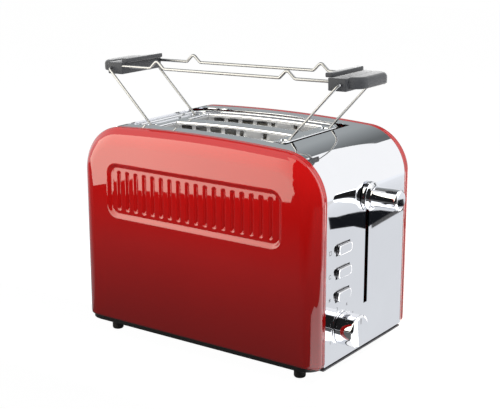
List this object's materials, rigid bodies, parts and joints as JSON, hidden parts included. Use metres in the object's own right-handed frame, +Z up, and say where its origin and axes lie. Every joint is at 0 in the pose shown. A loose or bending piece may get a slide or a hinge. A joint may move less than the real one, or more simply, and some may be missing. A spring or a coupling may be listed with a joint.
{
  "type": "two-slot toaster with roll rack",
  "caption": "Retro two-slot toaster with glossy red side shells, a polished band, a black base, push buttons, a browning knob and a lift-off wire roll rack with black handles.",
  "frame": {"origin": "on the table, under the middle of the object's box", "axes": "+X to the control end with lever, buttons and knob; +Y to the far side shell; +Z up"},
  "size_m": [0.2936, 0.16, 0.2445],
  "materials": {
    "red_shell": "glossy deep red enamel",
    "bright_band": "polished bright plate",
    "rack_wire": "bright plated wire",
    "black_plastic": "fine satin black",
    "black_rubber": "matt black",
    "plain_steel": "plain zinc-grey sheet and wire",
    "bright_aluminium": "bright rolled sheet",
    "mica_board": "pale amber mineral card",
    "heater_ribbon": "dull resistance ribbon",
    "copper_winding": "enamelled copper winding",
    "green_board": "green lacquered board"
  },
  "bodies": {
    "casing": {"side_shell_near": "red_shell", "side_shell_far": "red_shell", "chrome_band": "bright_band", "slot_frame": "bright_band", "base_plate": "black_plastic", "rubber_feet": "black_rubber", "base_screws": "plain_steel", "cord_gland": "black_plastic", "front_bulkhead": "plain_steel", "rear_bulkhead": "plain_steel", "reflector_near": "bright_aluminium", "reflector_far": "bright_aluminium", "mica_near": "mica_board", "mica_centre": "mica_board", "mica_far": "mica_board", "heater_near": "heater_ribbon", "heater_centre": "heater_ribbon", "heater_far": "heater_ribbon", "guide_rods": "plain_steel", "return_spring": "plain_steel", "magnet_core": "plain_steel", "magnet_coil": "copper_winding", "control_board": "green_board", "tact_switches": "black_plastic", "button_guide": "black_plastic", "board_screws": "plain_steel", "potentiometer": "plain_steel", "knob_ring": "bright_band"},
    "carriage": {"carriage_plate": "plain_steel", "lever_arm": "plain_steel", "lever_collar": "bright_band", "lever_knob": "bright_band", "bread_lifter_near": "plain_steel", "bread_lifter_far": "plain_steel", "latch_armature": "plain_steel"},
    "browning_control": {"knob_shaft": "plain_steel", "browning_knob": "bright_band"},
    "stop_key": {"stop_button": "bright_band"},
    "reheat_key": {"reheat_button": "bright_band"},
    "defrost_key": {"defrost_button": "bright_band"},
    "tray": {"crumb_tray": "plain_steel", "crumb_tray_handle": "black_plastic"},
    "guard_no": {"guard_near_outer": "plain_steel"},
    "guard_ni": {"guard_near_inner": "plain_steel"},
    "guard_fi": {"guard_far_inner": "plain_steel"},
    "guard_fo": {"guard_far_outer": "plain_steel"},
    "rack": {"rack_rail_near": "rack_wire", "rack_rail_far": "rack_wire", "rack_handle_front": "black_plastic", "rack_handle_rear": "black_plastic"},
    "leg_front": {"rack_leg_front": "rack_wire"},
    "leg_rear": {"rack_leg_rear": "rack_wire"}
  },
  "joints": [
    {"name": "lever_slide", "type": "slide", "parent": "casing", "child": "carriage", "axis": [0, 0, 1], "range_m": [-0.084, 0], "stiffness_N_per_m": 60, "springref_m": 0.1, "deforming": ["return_spring"]},
    {"name": "browning_turn", "type": "hinge", "parent": "casing", "child": "browning_control", "pos_m": [0.1318, -0.038, 0.0403], "axis": [1, 0, 0], "range_deg": [-135, 135]},
    {"name": "stop_press", "type": "slide", "parent": "casing", "child": "stop_key", "axis": [-1, 0, 0], "range_m": [0, 0.0025], "stiffness_N_per_m": 400, "springref_m": -0.002},
    {"name": "reheat_press", "type": "slide", "parent": "casing", "child": "reheat_key", "axis": [-1, 0, 0], "range_m": [0, 0.0025], "stiffness_N_per_m": 400, "springref_m": -0.002},
    {"name": "defrost_press", "type": "slide", "parent": "casing", "child": "defrost_key", "axis": [-1, 0, 0], "range_m": [0, 0.0025], "stiffness_N_per_m": 400, "springref_m": -0.002},
    {"name": "crumb_tray_slide", "type": "slide", "parent": "casing", "child": "tray", "axis": [-1, 0, 0], "range_m": [0, 0.18]},
    {"name": "rack_lift", "type": "slide", "parent": "casing", "child": "rack", "axis": [0, 0, 1], "range_m": [0, 0.06]},
    {"name": "rack_leg_front_fold", "type": "hinge", "parent": "rack", "child": "leg_front", "pos_m": [0.11076, 0, 0.23631], "axis": [0, 1, 0], "range_deg": [0, 44]},
    {"name": "rack_leg_rear_fold", "type": "hinge", "parent": "rack", "child": "leg_rear", "pos_m": [-0.12776, 0, 0.23048], "axis": [0, -1, 0], "range_deg": [0, 44]},
    {"name": "guard_near_outer_close", "type": "slide", "parent": "casing", "child": "guard_no", "axis": [0, 1, 0], "range_m": [0, 0.0041]},
    {"name": "guard_near_inner_close", "type": "slide", "parent": "casing", "child": "guard_ni", "axis": [0, -1, 0], "range_m": [0, 0.0041]},
    {"name": "guard_far_inner_close", "type": "slide", "parent": "casing", "child": "guard_fi", "axis": [0, 1, 0], "range_m": [0, 0.0041]},
    {"name": "guard_far_outer_close", "type": "slide", "parent": "casing", "child": "guard_fo", "axis": [0, -1, 0], "range_m": [0, 0.0041]}
  ],
  "couplings": [
    {"joint": "guard_near_outer_close", "follows": "lever_slide", "ratio": -0.047619},
    {"joint": "guard_near_inner_close", "follows": "lever_slide", "ratio": -0.047619},
    {"joint": "guard_far_inner_close", "follows": "lever_slide", "ratio": -0.047619},
    {"joint": "guard_far_outer_close", "follows": "lever_slide", "ratio": -0.047619}
  ]
}
